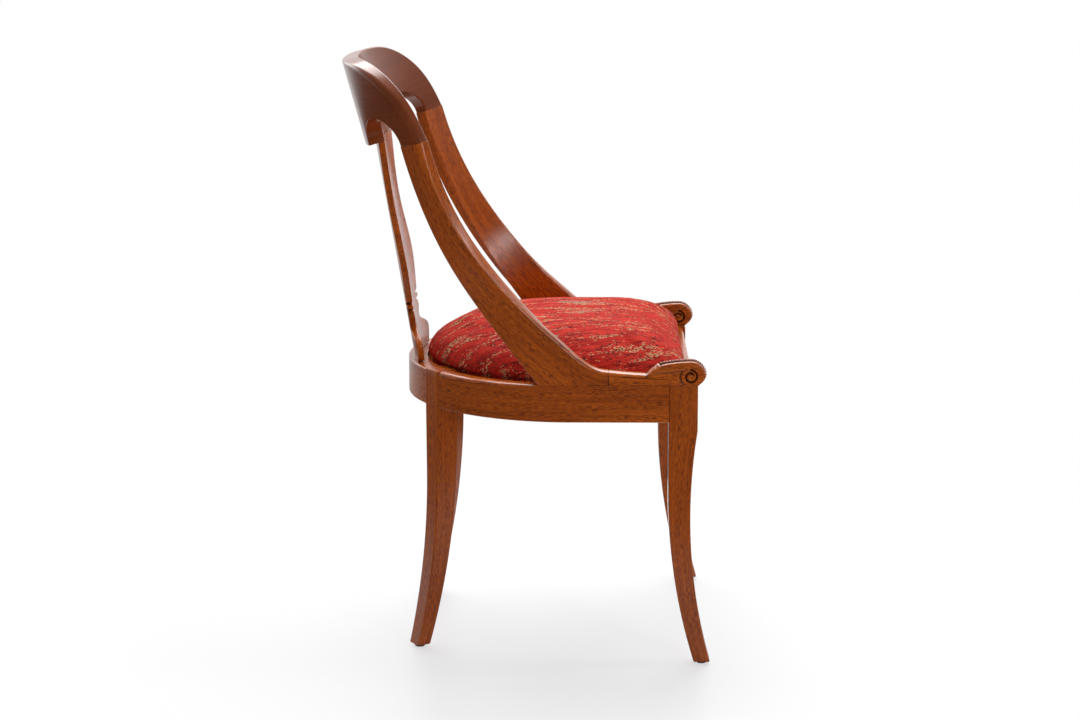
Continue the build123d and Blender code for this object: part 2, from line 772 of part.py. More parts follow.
with BuildPart() as seat_cover:
    add(cover_outside)
    add(cover_wrap)
    add([cover_inside, board_blank, cover_opening], mode=Mode.SUBTRACT)
finish(seat_cover.part, "seat_cover")

lining = horseshoe_prism(
    board_half - lining_inset, board_front + lining_inset, cover_foot - lining_thickness, lining_thickness
)
with BuildPart() as seat_lining:
    add(lining)
finish(seat_lining.part, "seat_lining")
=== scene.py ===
import bpy
import numpy as np
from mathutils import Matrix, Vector


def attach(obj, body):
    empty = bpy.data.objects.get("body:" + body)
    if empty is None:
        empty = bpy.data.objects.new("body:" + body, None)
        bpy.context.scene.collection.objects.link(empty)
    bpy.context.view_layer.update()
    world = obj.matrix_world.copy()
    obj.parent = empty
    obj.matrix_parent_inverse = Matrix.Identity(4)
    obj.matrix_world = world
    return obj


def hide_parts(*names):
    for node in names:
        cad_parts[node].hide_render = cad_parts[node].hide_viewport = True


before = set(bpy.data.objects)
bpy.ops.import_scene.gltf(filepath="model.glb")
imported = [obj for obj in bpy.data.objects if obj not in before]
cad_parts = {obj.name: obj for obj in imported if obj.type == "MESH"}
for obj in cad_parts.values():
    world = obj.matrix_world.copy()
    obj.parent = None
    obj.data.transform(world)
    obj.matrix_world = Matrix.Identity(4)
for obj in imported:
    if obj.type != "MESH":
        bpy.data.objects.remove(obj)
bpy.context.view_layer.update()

scene = bpy.context.scene
scene.view_settings.view_transform = "Standard"
mm = 0.001  # pieces are worked out in millimetres and written in metres


# a dictionary whose values can be read as names
class Sizes(dict):
    __getattr__ = dict.__getitem__


# Shader maths: a wire is one socket, and sums, products and the like add Math nodes
class Wire:
    def __init__(self, tree, socket=None):
        self.tree, self.socket = tree, socket

    # a node of any kind: numbers or wires for its sockets, the output wanted, its settings by name
    def make(self, kind, sockets, output=0, **settings):
        node = self.tree.nodes.new("ShaderNode" + kind)
        for key, value in settings.items():
            setattr(node, key, value)
        for key, value in sockets.items():
            if isinstance(value, Wire):
                self.tree.links.new(value.socket, node.inputs[key])
            else:
                node.inputs[key].default_value = value
        return Wire(self.tree, node.outputs[output] if node.outputs else None)

    # wires from named or numbered outputs of the same node
    def outputs(self, *keys):
        return [Wire(self.tree, self.socket.node.outputs[key]) for key in keys]

    def maths(self, operation, a, b=0.0):
        return self.make("Math", {0: a, 1: b}, operation=operation)

    def __add__(self, other):
        return self.maths("ADD", self, other)

    def __sub__(self, other):
        return self.maths("SUBTRACT", self, other)

    def __rsub__(self, other):
        return self.maths("SUBTRACT", other, self)

    def __mul__(self, other):
        return self.maths("MULTIPLY", self, other)

    def __truediv__(self, other):
        return self.maths("DIVIDE", self, other)

    __radd__ = __add__
    __rmul__ = __mul__


def newMaterial(name):
    material = bpy.data.materials.new(name)
    material.use_nodes = True
    material.node_tree.nodes.clear()
    return material, Wire(material.node_tree)


# a principled surface: what is linked varies, what is a number is set on the socket;
# a share of it can be dull, a diffuse of one tone, which the stained wood uses for dark joints and painted
# shade in carved hollows
def closeMaterial(wire, sockets, dull=None, dullTone=None):
    surface = wire.make("BsdfPrincipled", sockets)
    if dull:
        plain = wire.make("BsdfDiffuse", {"Color": dullTone})
        surface = wire.make("MixShader", {0: dull, 1: surface, 2: plain})
    wire.make("OutputMaterial", {"Surface": surface})


def noiseOf(wire, place, scale, detail=2.0, roughness=0.5):
    stretched = wire.make("VectorMath", {0: place, 1: scale}, operation="MULTIPLY")
    sockets = {"Vector": stretched, "Scale": 1.0, "Detail": detail, "Roughness": roughness}
    return wire.make("TexNoise", sockets)


# a smooth step of a value from low to high, between two levels
def stepOf(wire, value, low, high, least=0.0, most=1.0):
    sockets = {0: value, 1: low, 2: high, 3: least, 4: most}
    return wire.make("MapRange", sockets, interpolation_type="SMOOTHSTEP")


# a grey that runs straight from the first stop's level to the second's
def levelsOf(wire, value, stops):
    levels = wire.make("ValToRGB", {0: value})
    for element, (place, level) in zip(levels.socket.node.color_ramp.elements, stops):
        element.position = place
        element.color = (level, level, level, 1.0)
    return levels


def blendOf(wire, factor, first, second):
    return wire.make("Mix", {0: factor, 6: first, 7: second}, 2, data_type="RGBA")


def bumpOf(wire, height, strength, distance):
    return wire.make("Bump", {"Strength": strength, "Distance": distance, "Height": height})


# Stained wood: pale and dark streaks along the grain, fine dark pores, a satin gloss.
# The grain attribute holds (across, through, along) in metres, so the figure runs round the edges.
# the cut tone is for dark joints and for painted shade in carved hollows
stain = Sizes(
    pale=(0.52, 0.105, 0.006, 1), deep=(0.30, 0.055, 0.003, 1), pore=(0.075, 0.014, 0.002, 1),
    cut=(0.022, 0.007, 0.004, 1), cutShare=0.85, poreShare=0.80, rough=0.17, roughSwing=0.08,
    poreRough=0.06, gloss=0.38, relief=0.10, reliefDepth=0.0003, broadScale=(30, 30, 3.0),
    streakScale=(260, 260, 9.0), fleckScale=(1000, 1000, 110), veinScale=(120, 120, 8.0))
crestStain = Sizes(
    stain, pale=(0.20, 0.042, 0.009, 1), deep=(0.14, 0.028, 0.006, 1), poreShare=0.12, roughSwing=0.02,
    gloss=0.30, relief=0.01)


def stainedWood(name, p):
    material, wire = newMaterial(name)
    grain = wire.make("Attribute", {}, 1, attribute_name="grain")
    broad = noiseOf(wire, grain, p.broadScale, 3.0)
    streak = noiseOf(wire, grain, p.streakScale, 3.0, 0.6)
    fleck = noiseOf(wire, grain, p.fleckScale)
    vein = noiseOf(wire, grain, p.veinScale)
    tone = levelsOf(wire, broad * 0.5 + streak * 0.5, [(0.36, 0.0), (0.64, 1.0)])
    veined = levelsOf(wire, vein, [(0.35, 0.40), (0.65, 1.0)])
    pores = levelsOf(wire, fleck, [(0.45, 0.0), (0.57, 1.0)]) * veined
    colour = blendOf(wire, tone, p.deep, p.pale)
    colour = blendOf(wire, pores * p.poreShare, colour, p.pore)
    # dark joints, and painted shade in carved hollows, mixed in with the cut tone
    jointsAndShade = wire.make("Attribute", {}, 2, attribute_name="darkJointsAndShade")
    colour = blendOf(wire, jointsAndShade * p.cutShare, colour, p.cut)
    rough = p.rough + p.roughSwing * (streak - 0.5) + pores * p.poreRough
    relief = bumpOf(wire, 1.0 - pores, p.relief, p.reliefDepth)
    # the darkest joints and hollows turn matt in the cut tone: dark joints, and painted shade in carved
    # hollows
    mattJointsAndShade = levelsOf(wire, jointsAndShade, [(0.80, 0.0), (0.95, 1.0)])
    closeMaterial(wire, {"Base Color": colour, "Roughness": rough, "Normal": relief,
                         "Specular IOR Level": p.gloss}, mattJointsAndShade, p.cut)
    return material


def plainFinish(name, pale, deep, scale, rough, metal=0.0):
    material, wire = newMaterial(name)
    place = wire.make("TexCoord", {}, 3)
    spread = noiseOf(wire, place, scale, 3.0)
    colour = blendOf(wire, levelsOf(wire, spread, [(0.35, 0.0), (0.65, 1.0)]), deep, pale)
    rough = rough + 0.12 * (spread - 0.5)
    relief = bumpOf(wire, spread, 0.1, 0.0003)
    closeMaterial(wire, {"Base Color": colour, "Roughness": rough, "Metallic": metal, "Normal": relief})
    return material


# Woven cover: short weft floats in fine rows on a red ground. Straw floats gather in drifting bands,
# grey ones in a few patches, and some rows carry a broken dark line.
# The weave attribute holds the cloth laid flat: (across, front to back, 0) in metres.
weave = Sizes(
    ground=(0.57, 0.031, 0.019, 1), deep=(0.27, 0.006, 0.0035, 1), straw=(0.50, 0.31, 0.16, 1),
    ash=(0.26, 0.23, 0.17, 1), night=(0.050, 0.007, 0.006, 1), row=0.0016, float=0.0029, lean=0.22,
    sway=0.05, threadShare=0.85, lineShare=0.8, redFrom=0.45, darkFrom=0.68, ribShade=0.16, rough=0.85,
    gloss=0.06, relief=0.45, reliefDepth=0.0007)


def wovenCover(name, p):
    material, wire = newMaterial(name)
    flat = wire.make("Attribute", {}, 1, attribute_name="weave")
    across, along = wire.make("SeparateXYZ", {0: flat}).outputs(0, 1)
    sway = noiseOf(wire, flat, (9, 9, 1))
    rows = across / p.row
    row = wire.maths("FLOOR", rows)
    cells = along / p.float + row * 0.5
    cell = wire.maths("FLOOR", cells)
    spot = wire.make("CombineXYZ", {0: row, 1: cell, 2: 0.0})
    chance = wire.make("TexWhiteNoise", {"Vector": spot}, noise_dimensions="2D")
    kind = wire.make("TexWhiteNoise", {"Vector": spot}, noise_dimensions="3D")
    # bands run front to back and lean a little from side to side
    aside = across + along * p.lean + sway * p.sway
    leaned = wire.make("CombineXYZ", {0: aside, 1: along, 2: 0.0})
    drift = noiseOf(wire, leaned, (44, 10, 1), 3.0, 0.6)
    patch = noiseOf(wire, leaned, (17, 9, 1))
    strawShare = levelsOf(wire, drift, [(0.51, 0.02), (0.61, 0.90)])
    ashShare = levelsOf(wire, patch, [(0.61, 0.0), (0.68, 0.60)])
    lineShare = levelsOf(wire, wire.maths("ABSOLUTE", drift - 0.50), [(0.012, 0.55), (0.035, 0.05)])
    shade = noiseOf(wire, leaned, (150, 22, 1))
    tone = levelsOf(wire, shade * 0.6 + drift * 0.4, [(0.32, 0.0), (0.54, 1.0)])
    ground = blendOf(wire, tone, p.deep, p.ground)
    lined = wire.maths("LESS_THAN", kind, lineShare) * p.lineShare
    colour = blendOf(wire, lined, ground, p.night)
    # inside a band the floats are straw, red or dark by chance
    thread = blendOf(wire, wire.maths("GREATER_THAN", kind, p.redFrom), p.straw, ground)
    thread = blendOf(wire, wire.maths("GREATER_THAN", kind, p.darkFrom), thread, p.night)
    for share, yarn in ((strawShare, thread), (ashShare, p.ash)):
        colour = blendOf(wire, wire.maths("LESS_THAN", chance, share) * p.threadShare, colour, yarn)
    rib, tuft = [wire.maths("SINE", wire.maths("FRACT", v) * np.pi) for v in (rows, cells)]
    colour = blendOf(wire, (1.0 - rib) * p.ribShade, colour, p.night)
    relief = bumpOf(wire, rib * 0.5 + rib * tuft * 0.5, p.relief, p.reliefDepth)
    closeMaterial(wire, {"Base Color": colour, "Roughness": p.rough, "Normal": relief,
                         "Specular IOR Level": p.gloss})
    return material


woodFinish = stainedWood("stainedWood", stain)
crestFinish = stainedWood("crestWood", crestStain)
clothFinish = wovenCover("wovenCover", weave)
# plain finishes: pale tone, deep tone, scale of the mottle, roughness, and metal where there is any
plainFinishes = dict(
    plainWood=((0.46, 0.30, 0.16, 1), (0.33, 0.20, 0.10, 1), (40, 40, 300), 0.6),
    plainSteel=((0.52, 0.52, 0.53, 1), (0.38, 0.38, 0.39, 1), (400, 400, 400), 0.4, 1.0),
    darkGlide=((0.030, 0.018, 0.013, 1), (0.014, 0.009, 0.007, 1), (500, 500, 500), 0.45),
    liningCloth=((0.030, 0.030, 0.032, 1), (0.012, 0.012, 0.013, 1), (900, 900, 900), 0.9))
plainMaterials = {name: plainFinish(name, *values) for name, values in plainFinishes.items()}
print("finishes made")


# Curves and sections
def unit(v):
    return v / np.linalg.norm(v, axis=-1, keepdims=True)


def between(first, second, share):
    return first + (second - first) * share


# values side by side along a last axis, spread to one shape
def columns(*values):
    return np.stack(np.broadcast_arrays(*values), axis=-1)


# length of a line up to each of its points
def runOf(line):
    return np.concatenate([[0], np.cumsum(np.linalg.norm(np.diff(line, axis=0), axis=1))])


# middle + (across cos(turn), up sin(turn))
def ellipse(middle, across, up, turn):
    return columns(middle[0] + across * np.cos(turn), middle[1] + up * np.sin(turn))


# the same line, with count points evenly spaced along its length
def evenly(line, count):
    length = runOf(line)
    at = np.linspace(0, length[-1], count)
    return columns(*[np.interp(at, length, c) for c in line.T])


# cubic curve through points, steps as long as its chords, with given directions at both ends
def splineThrough(points, startWay, endWay, count):
    p = np.array(points, float)
    n = len(p)
    h = np.linalg.norm(np.diff(p, axis=0), axis=1)
    t = runOf(p)
    rows = np.eye(n)
    sides = np.zeros_like(p)
    sides[0], sides[-1] = unit(np.array(startWay, float)), unit(np.array(endWay, float))
    for i in range(1, n - 1):
        rows[i, i - 1:i + 2] = h[i], 2 * (h[i - 1] + h[i]), h[i - 1]
        sides[i] = 3 * (h[i] * (p[i] - p[i - 1]) / h[i - 1] + h[i - 1] * (p[i + 1] - p[i]) / h[i])
    slopes = np.linalg.solve(rows, sides)
    s = np.linspace(0, t[-1], 60 * n)
    k = np.clip(np.searchsorted(t, s, side="right") - 1, 0, n - 2)
    step = h[k][:, None]
    u = ((s - t[k]) / h[k])[:, None]
    line = (2 * u**3 - 3 * u**2 + 1) * p[k] + (u**3 - 2 * u**2 + u) * step * slopes[k]
    line += (3 * u**2 - 2 * u**3) * p[k + 1] + (u**3 - u**2) * step * slopes[k + 1]
    return evenly(line, count)


# rounded rectangle (0..width, 0..thick) at each station, as stations x points x 2; corner k has radius
# radii[k], or a pair of radii along width and thick; fill adds points to the two sides along width
def roundedSection(width, thick, radii, steps=5, fill=0):
    quarter = np.linspace(0, np.pi / 2, steps)
    runs = []
    for k in range(4):
        pair = radii[k] if isinstance(radii[k], tuple) else (radii[k], radii[k])
        rx, ry = [np.broadcast_to(r, width.shape)[:, None] for r in pair]
        middleX = (width[:, None] - rx) if k in (1, 2) else rx
        middleY = (thick[:, None] - ry) if k in (2, 3) else ry
        angle = np.pi + k * np.pi / 2 + quarter[None]
        runs.append(ellipse((middleX, middleY), rx, ry, angle))
    share = np.linspace(0, 1, fill + 2)[1:-1][None, :, None]
    sides = [runs[k][:, -1:] * (1 - share) + runs[k + 1][:, :1] * share for k in (0, 2)]
    return np.concatenate([runs[0], sides[0], *runs[1:3], sides[1], runs[3]], axis=1)


# quads of a stations x points grid, closed round its points and, when looped, round its stations
def gridQuads(stations, points, looped=False):
    i, j = np.meshgrid(np.arange(stations if looped else stations - 1), np.arange(points), indexing="ij")
    after, beside = (i + 1) % stations, (j + 1) % points
    corners = [i * points + j, i * points + beside, after * points + beside, after * points + j]
    return columns(*corners).reshape(-1, 4).tolist()


# a grid's quads with flat ends, or with single end points
def gridFaces(stations, points, pointEnds=False):
    faces = gridQuads(stations, points)
    first, last = np.arange(points), (stations - 1) * points + np.arange(points)
    if not pointEnds:
        return faces + [first[::-1].tolist(), last.tolist()]
    low, high = stations * points, stations * points + 1
    faces += [[low, int(b), int(a)] for a, b in zip(first, np.roll(first, -1))]
    return faces + [[high, int(a), int(b)] for a, b in zip(last, np.roll(last, -1))]


# six times the volume inside, by tetrahedra to the origin: below zero when faces point inwards
def insideOut(verts, faces):
    total = 0.0
    for size in {len(f) for f in faces}:
        rings = verts[np.array([f for f in faces if len(f) == size])]
        first = np.broadcast_to(rings[:, :1], rings[:, 2:].shape)
        total += np.einsum("ijk,ijk->", first, np.cross(rings[:, 1:-1], rings[:, 2:]))
    return total < 0


def addMesh(name, verts, faces, attributes, finish, sharp=40):
    if insideOut(verts, faces):
        faces = [f[::-1] for f in faces]
    mesh = bpy.data.meshes.new(name)
    mesh.from_pydata((verts * mm).tolist(), [], faces)
    mesh.polygons.foreach_set("use_smooth", np.ones(len(mesh.polygons), bool))
    for key, values in attributes.items():
        kind, part = ("FLOAT", "value") if values.ndim == 1 else ("FLOAT_VECTOR", "vector")
        layer = mesh.attributes.new(key, kind, "POINT")
        layer.data.foreach_set(part, np.ascontiguousarray(values, np.float32).ravel())
    mesh.materials.append(finish)
    mesh.update()
    mesh.set_sharp_from_angle(angle=np.radians(sharp))
    piece = bpy.data.objects.new(name, mesh)
    scene.collection.objects.link(piece)
    return piece


def settle(piece, body, nodes):
    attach(piece, body)
    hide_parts(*nodes)


# a wooden piece from a grid of points, with its faces weighted so that flats stay flat
def woodPiece(name, grid, grain, node, pointEnds=None, darkJointsAndShade=None, finish=woodFinish):
    verts, figure = grid.reshape(-1, 3), grain.reshape(-1, 3) * mm
    attributes = {"grain": figure}
    if pointEnds is not None:
        verts = np.concatenate([verts, pointEnds[0]])
        attributes["grain"] = np.concatenate([figure, pointEnds[1] * mm])
    # the attribute of dark joints and of painted shade in carved hollows
    if darkJointsAndShade is not None:
        attributes["darkJointsAndShade"] = np.concatenate([darkJointsAndShade.ravel(), np.zeros(len(verts) - darkJointsAndShade.size)])
    faces = gridFaces(*grid.shape[:2], pointEnds is not None)
    piece = addMesh(name, verts, faces, attributes, finish)
    piece.modifiers.new("flats", "WEIGHTED_NORMAL").keep_sharp = True
    settle(piece, "frame", [node])


mirror = np.array([-1.0, 1.0, 1.0])
otherFigure = 700  # shift of the grain in right-hand pieces


def bothSides(name, node, grid, grain, pointEnds=None, darkJointsAndShade=None):
    woodPiece(name + "Left", grid, grain, node + "_left", pointEnds, darkJointsAndShade)
    ends = None if pointEnds is None else (pointEnds[0] * mirror, pointEnds[1] + otherFigure)
    woodPiece(name + "Right", grid * mirror, grain + otherFigure, node + "_right", ends, darkJointsAndShade)


# sections set along a line: corner + across * x + through * y
def sectionGrid(corner, across, through, section, along):
    x, y = section[..., 0], section[..., 1]
    grid = corner[:, None] + across[:, None] * x[..., None] + through[:, None] * y[..., None]
    return grid, columns(x, y, along[:, None])


# Seat frame: sizes shared by the pieces that stand on it
seat = Sizes(
    half=240.0, inner=212.0, railTop=411.6, railBottom=358.2, arcY=-65.5, frontReach=180.6, legDepth=40.8,
    legAngle=33.5, postHalf=17.0)
railTop, arcY = seat.railTop, seat.arcY
frontY = arcY - seat.frontReach
legBackY = frontY + seat.legDepth
legTurn = np.radians(seat.legAngle)


# point on a circle round the seat's arc centre, offset sideways from a rear leg's radial line
def onArc(radius, offset):
    along = np.sqrt(radius**2 - offset**2)
    x = along * np.sin(legTurn) + offset * np.cos(legTurn)
    return np.array([x, arcY + along * np.cos(legTurn) - offset * np.sin(legTurn)])


# radii of a rail: soft, backSoft or tight along the outer top edge, softInner of that along the inner one
rails = Sizes(
    straight=18, round=36, soft=4.5, backSoft=2.0, tight=0.5, softFrom=-12.0, softInner=0.6, lowInner=1.2,
    lowOuter=1.8, crownShare=0.5, crownDepth=12.0, frontHalf=200.0, frontStations=12, frontInset=4.0)


# a rail between two plan lines, top down; soft gives each station's radius along its outer top edge,
# and its top is crowned in step with it: drop = crown (2 x / width - 1)^2
def railGrid(outer, inner, soft):
    count = len(outer)
    corner, other = [columns(*line.T, railTop) for line in (outer, inner)]
    down = np.tile([0.0, 0.0, -1.0], (count, 1))
    width = np.linalg.norm(other - corner, axis=1)
    height = np.full(count, railTop - seat.railBottom)
    radii = [soft, soft * rails.softInner, rails.lowInner, rails.lowOuter]
    section = roundedSection(width, height, radii, 6, 8)
    side = 2 * section[..., 0] / width[:, None] - 1
    crown = (soft[:, None] - rails.tight) * rails.crownShare
    section[..., 1] += crown * side**2 * np.clip(1 - section[..., 1] / rails.crownDepth, 0, 1)
    return sectionGrid(corner, unit(other - corner), down, section, runOf((outer + inner) / 2))


# arc of a radius between two angles, measured from straight back
def planArc(radius, start, end, count):
    angle = np.linspace(start, end, count)
    return columns(radius * np.sin(angle), arcY + radius * np.cos(angle))


def angleOf(point):
    return np.arctan2(point[0], point[1] - arcY)


sideLines, backLines = [], []
for radius in (seat.half, seat.inner):
    straightY = np.linspace(legBackY, arcY, rails.straight, endpoint=False)
    straight = columns(radius, straightY)
    sideEnd, backEnd = [angleOf(onArc(radius, offset)) for offset in (seat.postHalf, -seat.postHalf)]
    sideLines.append(np.concatenate([straight, planArc(radius, np.pi / 2, sideEnd, rails.round)]))
    backLines.append(planArc(radius, -backEnd, backEnd, rails.round))
soft = np.where(sideLines[0][:, 1] > rails.softFrom, rails.soft, rails.tight)
bothSides("sideRail", "side_rail", *railGrid(*sideLines, soft))
woodPiece("backRail", *railGrid(*backLines, np.full(rails.round, rails.backSoft)), "back_rail")
frontX = np.linspace(-rails.frontHalf, rails.frontHalf, rails.frontStations)
railDepths = (0, seat.half - seat.inner)
frontLines = [columns(frontX, frontY + rails.frontInset + depth) for depth in railDepths]
woodPiece("frontRail", *railGrid(*frontLines, np.full_like(frontX, rails.soft)), "front_rail")
print("rails made")


# y on the circle through three (y, z) points, at heights z
def arcAt(z, first, second, third):
    (ay, az), (by, bz), (cy, cz) = first, second, third
    rows = 2 * np.array([[by - ay, bz - az], [cy - ay, cz - az]])
    sides = np.array([by**2 + bz**2 - ay**2 - az**2, cy**2 + cz**2 - ay**2 - az**2])
    middleY, middleZ = np.linalg.solve(rows, sides)
    radius = np.hypot(ay - middleY, az - middleZ)
    return middleY + np.sign(by - middleY) * np.sqrt(np.maximum(radius**2 - (z - middleZ)**2, 0))


# an edge that is upright above startZ and sweeps by reach on a tangent arc down to endZ
def sweptAt(z, reach, startZ, endZ):
    drop = startZ - endZ
    radius = (reach**2 + drop**2) / (2 * abs(reach))
    fall = np.clip(startZ - z, 0, drop)
    return np.sign(reach) * (radius - np.sqrt(radius**2 - fall**2))


# all legs: stations between the end runs, the first ring in the foot's eased edge, how far such edges draw
# in, and the share of soft on the side away from the corner line
legs = Sizes(endRun=10, stations=64, firstRing=0.3, drawIn=0.7, farSoft=0.7)


# heights of a leg's sections, close together at both ends where its edges are eased
def legHeights(p):
    low, high, ease = p.foot, railTop, p.ease
    middle = np.linspace(low + legs.endRun, high - legs.endRun, legs.stations)
    return np.concatenate([[low, low + ease * legs.firstRing, low + ease], middle, [high - ease, high]])


def legHalf(p, z):
    share = np.clip((z - p.foot) / (seat.railBottom - p.foot), 0, 1)
    return between(p.footHalf, p.halfWidth, share)


# a leg from one corner at each height, ease drawing in its two ends
def legGrid(p, z, corner, across, through, width, thick):
    across, through = np.tile(across, (len(z), 1)), np.tile(through, (len(z), 1))
    inset = np.clip(p.ease - np.minimum(z - p.foot, railTop - z), 0, p.ease) * legs.drawIn
    corner = corner + (across + through) * inset[:, None]
    farSoft = p.soft * legs.farSoft
    radii = [p.soft, p.soft, farSoft, farSoft]
    section = roundedSection(width - 2 * inset, thick - 2 * inset, radii, 5)
    return sectionGrid(corner, across, through, section, z)


frontLeg = Sizes(
    middleX=220.0, halfWidth=20.0, footHalf=14.0, kneeDrop=13.0, waistInset=8.8, waistZ=225.0,
    toeReach=202.4, toeDepth=23.5, heelZ=260.0, foot=4.0, soft=2.2, ease=1.2)


def frontLegGrid(p):
    z = legHeights(p)
    kneeZ = seat.railBottom - p.kneeDrop
    toeY = arcY - p.toeReach
    curve = arcAt(z, (frontY, kneeZ), (frontY + p.waistInset, p.waistZ), (toeY, p.foot))
    front = np.where(z > kneeZ, frontY, curve)
    back = legBackY + sweptAt(z, toeY + p.toeDepth - legBackY, p.heelZ, p.foot)
    half = legHalf(p, z)
    corner = columns(p.middleX + half, front, z)
    return legGrid(p, z, corner, [-1.0, 0, 0], [0, 1.0, 0], 2 * half, back - front)


rearLeg = Sizes(
    outer=240.8, inner=206.8, sweep=33.0, outerZ=260.0, innerZ=300.0, footDepth=20.5, halfWidth=17.0,
    footHalf=13.0, foot=4.0, soft=2.2, ease=1.0)


def rearLegGrid(p):
    z = legHeights(p)
    outer = p.outer + sweptAt(z, p.sweep, p.outerZ, p.foot)
    innerSweep = p.outer + p.sweep - p.footDepth - p.inner
    inner = p.inner + sweptAt(z, innerSweep, p.innerZ, p.foot)
    half = legHalf(p, z)
    out = np.array([np.sin(legTurn), np.cos(legTurn), 0])
    side = np.array([np.cos(legTurn), -np.sin(legTurn), 0])
    middle = columns(0, arcY, z)
    corner = middle + out * outer[:, None] + side * half[:, None]
    return legGrid(p, z, corner, -side, -out, 2 * half, outer - inner)


bothSides("frontLeg", "front_leg", *frontLegGrid(frontLeg))
bothSides("rearLeg", "rear_leg", *rearLegGrid(rearLeg))
print("legs made")


# Crest rail: a strip between its top and bottom outlines, on a leaning cylinder.
# point(x, drop, inset) = axis + r sin(a) sideways + r cos(a) out - drop up
# with sin(a) = x / radius and r = radius - inset
crest = Sizes(
    reach=333.4, height=849.5, lean=15.3, radius=353.0, middle=24.5, end=21.0, board=125.3, half=235.6,
    endWidth=31.9, tabHalf=88.0, archHeight=42.0, topTab=80.0, tabStations=22, archStations=60,
    top=[(0, 0), (95, -1.8), (165, -17.5), (212, -57), (235.6, -125.3)], sideWay=(0.15, -1),
    middleSoft=2.5, outerSoft=14.0, outerThrough=13.0, innerSoft=2.5, lowSoft=2.0, tabSoft=0.35)
lean = np.radians(crest.lean)
crestUp = np.array([0, np.sin(lean), np.cos(lean)])
crestOut = np.array([0, np.cos(lean), -np.sin(lean)])
crestAxis = np.array([0, arcY + crest.reach, crest.height]) - crestOut * crest.radius
outerAngle = np.arcsin(crest.half / crest.radius)
innerAngle = np.arcsin((crest.half - crest.endWidth) / crest.radius)
endAngle = (outerAngle + innerAngle) / 2


def crestPoint(x, drop, inset):
    angle = np.arcsin(x / crest.radius)
    r = (crest.radius - inset)[..., None]
    turned = columns(np.sin(angle), 0, 0) + crestOut * np.cos(angle)[..., None]
    return crestAxis + r * turned - crestUp * drop[..., None]


# depth of the board at an angle: its inner face is a circle about a centre further forward
def crestDepth(angle):
    middle, end = crest.radius - crest.middle, crest.radius - crest.end
    shift = (end**2 - middle**2) / 2 / (end * np.cos(endAngle) - middle)
    return crest.radius - shift * np.cos(angle) - np.sqrt((middle - shift)**2 - (shift * np.sin(angle))**2)


def crestGrid(p):
    topLine = splineThrough(p.top, (1, 0), p.sideWay, 600)
    split = np.searchsorted(topLine[:, 0], p.topTab)
    halves = ((topLine[:split + 1], p.tabStations), (topLine[split:], p.archStations))
    top = np.concatenate([evenly(line, count) for line, count in halves])
    turn = np.linspace(0, np.pi, p.archStations)
    archHalf = (p.half - p.endWidth - p.tabHalf) / 2
    arch = ellipse((p.tabHalf + archHalf, -p.board), -archHalf, p.archHeight, turn)
    tabX = np.linspace(0, p.tabHalf, p.tabStations)
    low = np.concatenate([columns(tabX, -p.board), arch])
    flip = np.array([-1, 1])
    top = np.concatenate([top[:0:-1] * flip, top])
    low = np.concatenate([low[:0:-1] * flip, low])
    width = np.linalg.norm(low - top, axis=1)
    thick = crestDepth(np.arcsin((top[:, 0] + low[:, 0]) / 2 / p.radius))
    lowSoft = np.where(np.abs(low[:, 0]) < p.tabHalf - 0.1, p.tabSoft, p.lowSoft)
    # the outer top edge is crisp at the middle of the back and rounder towards the arms
    rounder = (top[:, 0] / p.half)**2
    topSoft = tuple(between(p.middleSoft, p[key], rounder) for key in ("outerSoft", "outerThrough"))
    section = roundedSection(width, thick, [topSoft, lowSoft, lowSoft, p.innerSoft], 13)
    place = top[:, None] + (low - top)[:, None] * (section[..., :1] / width[:, None, None])
    grid = crestPoint(place[..., 0], -place[..., 1], section[..., 1])
    around = p.radius * np.arcsin(place[..., 0] / p.radius)
    return grid, columns(place[..., 1], section[..., 1], around)


woodPiece("crestRail", *crestGrid(crest), "crest_rail", finish=crestFinish)
print("crest rail made")


# Arms: rounded sections along the front outer edge, turning from the rail up to the crest's end
arm = Sizes(
    footRise=20.4, footAhead=54.5, footDrop=84.0, width=42.0, footThick=28.0, bow=6.0, lowRise=50.6,
    middleBehind=66.0, middleRise=109.0, highBehind=153.0, highRise=207.0, twistStart=0.25, stations=90,
    footSoft=3.5, softBy=0.6, through=6.0, meetFrom=0.75, footCrown=2.6, crownDepth=14.0, backSoft=2.2,
    cutSoft=0.6, joint=0.6)


